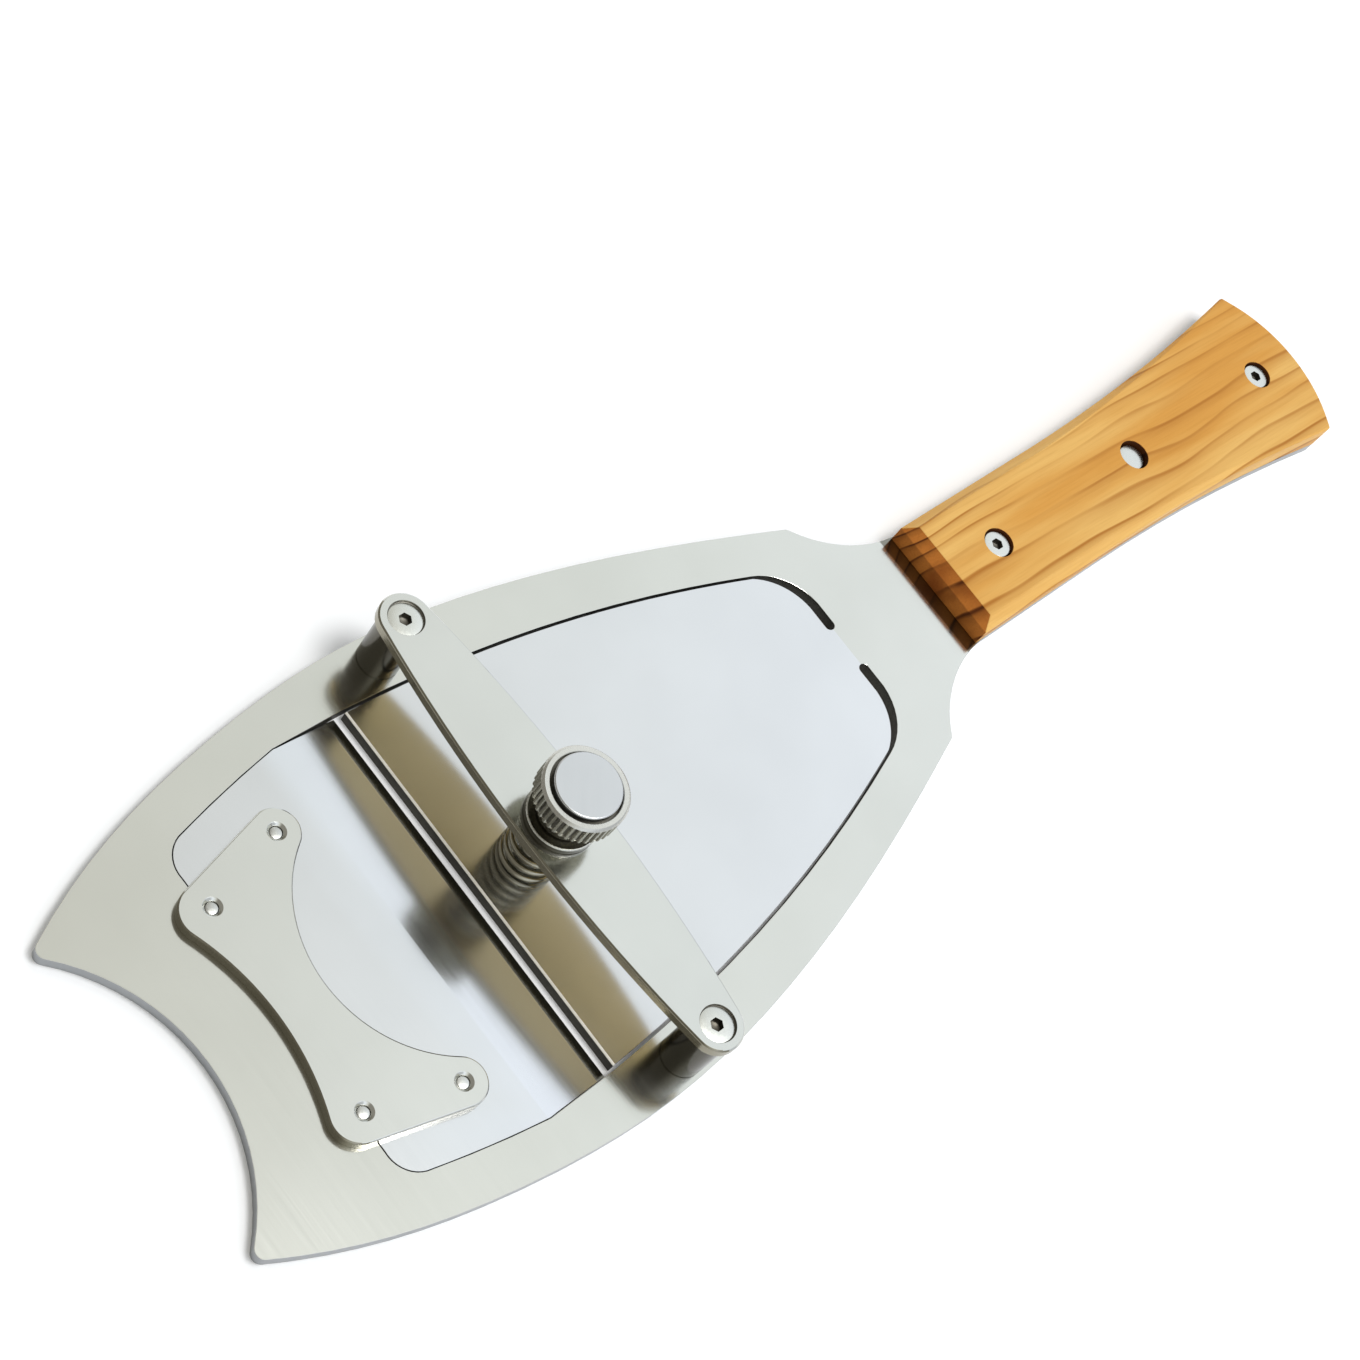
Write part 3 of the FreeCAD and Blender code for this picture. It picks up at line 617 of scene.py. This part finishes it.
def make_thumb_nut():
    """Neck, straight-knurled head with a plain bevelled rim, recess for the cap, and a blind bore."""
    at, low, rim_top, r = measures("thumb_nut")
    neck, bore, recess, rim = 4.5 * MM, 3.1 * MM, 5.85 * MM, 6.75 * MM
    head = low + 4.7 * MM
    knurl_top = rim_top - 0.45 * MM
    teeth, groove_depth = 42, 0.055
    knurled = knurl_shape(teeth, groove_depth)
    floor = low_z("nut_cap")
    bore_top = low + 7.1 * MM
    fillet, lip = 0.3 * MM, 0.1 * MM
    centre = 0.001 * MM             # just off the axis, so that the ring stays a ring
    rings = plain((bore, low), (neck - fillet, low), (neck, low + fillet), (neck, head - fillet),
                  (neck + fillet, head), (r - 0.45 * MM, head))
    rings += [(r, head + 0.35 * MM, knurled), (r, knurl_top, knurled)]
    rings += plain((r - 0.02 * MM, knurl_top + 0.03 * MM), (rim + lip, rim_top - 0.14 * MM),
                   (rim - lip, rim_top), (recess + lip, rim_top), (recess, rim_top - lip), (recess, floor),
                   (centre, floor), (centre, bore_top), (bore, bore_top))

    def paint(normal, mid):
        reach = math.hypot(mid.x - at.x, mid.y - at.y)
        # Knurl grooves take painted shade; the rim, the cap's recess and its walls take the painted highlight.
        if head + 0.3 * MM < mid.z < knurl_top + 0.01 * MM:
            return 1 if reach < r * (1 - groove_depth * 0.6) else 0
        return 2 if reach > 5 * MM and mid.z > floor - 0.05 * MM else 0
    piece = finish_mesh(turned(rings, at, teeth * 12), "knurled_nut", [TURNED_STEEL, GROOVE_SHADE_STEEL, RIM_HIGHLIGHT_STEEL],
                        paint, 28)
    stands_for(piece, "thumb_nut", "thumb_nut")


def make_nut_cap():
    at, low, top, r = measures("nut_cap")
    edge = 0.22 * MM
    rings = plain((0, low), (r, low)) + arc_rings(r, r - edge, top - edge, top, 4) + plain((0, top))
    stands_for(finish_mesh(turned(rings, at), "nut_cap_turned", [CAP_STEEL]), "nut_cap", "thumb_nut")


# ---- coil spring -----------------------------------------------------------------------------------
def make_coil_spring():
    """Compression spring with closed ends: the turns lie together at each end and open between."""
    centre = middle("adjust_stud")
    wire = 0.55 * MM
    coil_r = 4.6 * MM
    turns, closed_turns = 5.0, 1.0
    closed_pitch, closed_height = 0.25 * wire, 1.15 * wire
    per_turn, sides = 72, 16
    bottom, rise = SHEET_T + wire, low_z("bridge") - SHEET_T - 2 * wire
    open_pitch = (rise - 2 * closed_turns * closed_height) / (turns - closed_turns)
    bm = bmesh.new()
    loops = []
    count = int(turns * per_turn) + 1
    heights = []
    z = 0.0
    for i in range(count):
        turn = i / per_turn
        inside = min(turn, turns - turn) / closed_turns
        share = max(0.0, min(1.0, inside))
        share = share * share * (3 - 2 * share)
        heights.append(z)
        z += (closed_pitch + (open_pitch - closed_pitch) * share) / per_turn
    for i in range(count):
        angle = 2 * math.pi * i / per_turn
        out = Vector((math.cos(angle), math.sin(angle), 0))
        height = bottom + heights[i] * rise / heights[-1]
        loop = []
        for k in range(sides):
            around = 2 * math.pi * k / sides
            offset = out * (coil_r + wire * math.cos(around)) + Vector((0, 0, height + wire * math.sin(around)))
            loop.append(bm.verts.new((centre.x + offset.x, centre.y + offset.y, offset.z)))
        loops.append(loop)
    for a, b in zip(loops, loops[1:]):
        for k in range(sides):
            m = (k + 1) % sides
            bm.faces.new((a[k], a[m], b[m], b[k]))
    bm.faces.new(loops[0])
    bm.faces.new(loops[-1])
    piece = finish_mesh(bm, "compression_spring", [SPRING_STEEL])
    stands_for(piece, "coil_spring")
    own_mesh(piece)


# ---- handle ----------------------------------------------------------------------------------------
def make_handle_scale():
    """Wooden scale with darker end grain; its edges at the two butt corners stay square."""
    bm = solid_of("handle_scale")
    corner_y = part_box("handle_scale")[1].y - 0.9 * MM
    ease(bm, 0.12 * MM, degrees=20, keep=lambda edge: any(abs(v.co.y) > corner_y for v in edge.verts))
    bores = [middle(node) for node in ("handle_screw_front", "handle_screw_rear", "handle_pin")]

    def paint(normal, at):
        # Bore walls take near-black painted shade.
        if is_wall(normal) and near_any(at, bores, HOLE_REACH):
            return 2
        return int(normal.x < -0.6)
    piece = finish_mesh(bm, "wooden_scale", [WOOD, WOOD_END, BORE_SHADE_WOOD], paint, 30)
    stands_for(piece, "handle_scale")


make_frame_sheet()
make_tongue_sheet()
make_blade()
make_clamp()
make_bridge()
for side in ("left", "right"):
    make_flat_head_screw("bridge_screw_" + side)
    make_standoff("standoff_" + side)
    make_rivet("rivet_front_" + side)
    make_rivet("rivet_rear_" + side)
make_stud()
make_washer()
make_thumb_nut()
make_nut_cap()
make_coil_spring()
make_handle_scale()
for end in ("front", "rear"):
    make_cap_screw("handle_screw_" + end)
make_handle_pin()


# ---- studio ----------------------------------------------------------------------------------------
FLOOR_SIZE = 6.0
FLOOR_DROP = 0.1 * MM
SKY_DIM_SIDE = (135, 30)            # azimuth and elevation of the sky's dimmest point, in degrees
SKY_STOPS = [(0.3, (0.7, 0.74, 0.8)), (0.44, (1.2, 1.28, 1.42)), (0.575, (1.02, 1.08, 1.12)),
             (0.675, (0.84, 0.85, 0.82)), (0.79, (0.32, 0.31, 0.28))]
CAMERA_AIM = Vector((-0.0231, 0.0104, SHEET_T))
CAMERA_AZIMUTH = math.radians(193.1)
CAMERA_ELEVATION = math.radians(52.2)
CAMERA_ROLL = math.radians(41.5)
CAMERA_DISTANCE = 0.4485
CAMERA_LENS = 72.98


def toward(azimuth, elevation):
    """Unit vector from the object, from angles in radians."""
    return Vector((math.cos(elevation) * math.cos(azimuth), math.cos(elevation) * math.sin(azimuth),
                   math.sin(elevation)))


def add_floor():
    bm = bmesh.new()
    bmesh.ops.create_grid(bm, x_segments=1, y_segments=1, size=FLOOR_SIZE / 2)
    mesh = bpy.data.meshes.new("floor")
    bm.to_mesh(mesh)
    bm.free()
    floor = add_object("floor", mesh)
    floor.location.z = -FLOOR_DROP
    g = Graph("floor_paper")
    g.set(Base_Color=(0.97, 0.97, 0.97), Roughness=0.9, Emission_Color=(1, 1, 1), Emission_Strength=0.08)
    mesh.materials.append(g.material)


def add_softbox(name, azimuth_deg, elevation_deg, distance, size, power):
    """Square area light that looks at the middle of the object."""
    light = bpy.data.lights.new(name, "AREA")
    light.shape = "SQUARE"
    light.size = size
    light.energy = power
    lamp = add_object(name, light)
    away = toward(math.radians(azimuth_deg), math.radians(elevation_deg))
    lamp.location = away * distance
    lamp.rotation_euler = away.to_track_quat("Z", "Y").to_euler()


def add_sky():
    """Pale sky that falls off to a dimmer, warmer side near the camera."""
    world = bpy.data.worlds.new("studio")
    world.use_nodes = True
    tree = world.node_tree
    direction = tree.nodes.new("ShaderNodeTexCoord")
    nearness = tree.nodes.new("ShaderNodeVectorMath")
    nearness.operation = "DOT_PRODUCT"
    nearness.inputs[1].default_value = toward(*map(math.radians, SKY_DIM_SIDE))
    tree.links.new(direction.outputs["Generated"], nearness.inputs[0])
    spread = tree.nodes.new("ShaderNodeMapRange")
    spread.inputs["From Min"].default_value = -1
    tree.links.new(nearness.outputs["Value"], spread.inputs["Value"])
    ramp = tree.nodes.new("ShaderNodeValToRGB")
    set_stops(ramp.color_ramp, SKY_STOPS)
    tree.links.new(spread.outputs["Result"], ramp.inputs["Fac"])
    tree.links.new(ramp.outputs["Color"], tree.nodes["Background"].inputs["Color"])
    tree.nodes["Background"].inputs["Strength"].default_value = 1.0
    bpy.context.scene.world = world


def add_camera():
    back = toward(CAMERA_AZIMUTH, CAMERA_ELEVATION)
    level_right = Vector((-math.sin(CAMERA_AZIMUTH), math.cos(CAMERA_AZIMUTH), 0))
    level_up = back.cross(level_right)
    right = math.cos(CAMERA_ROLL) * level_right + math.sin(CAMERA_ROLL) * level_up
    turn = Matrix((right, back.cross(right), back)).transposed().to_4x4()
    data = bpy.data.cameras.new("camera")
    data.lens = CAMERA_LENS
    data.sensor_width = 36
    data.clip_start = 0.01
    camera = add_object("camera", data)
    camera.matrix_world = Matrix.Translation(CAMERA_AIM + back * CAMERA_DISTANCE) @ turn
    bpy.context.scene.camera = camera


add_floor()
add_sky()
add_softbox("top_softbox", azimuth_deg=300, elevation_deg=76, distance=1.2, size=0.4, power=6.5)
add_camera()
bpy.context.scene.view_settings.view_transform = "Standard"
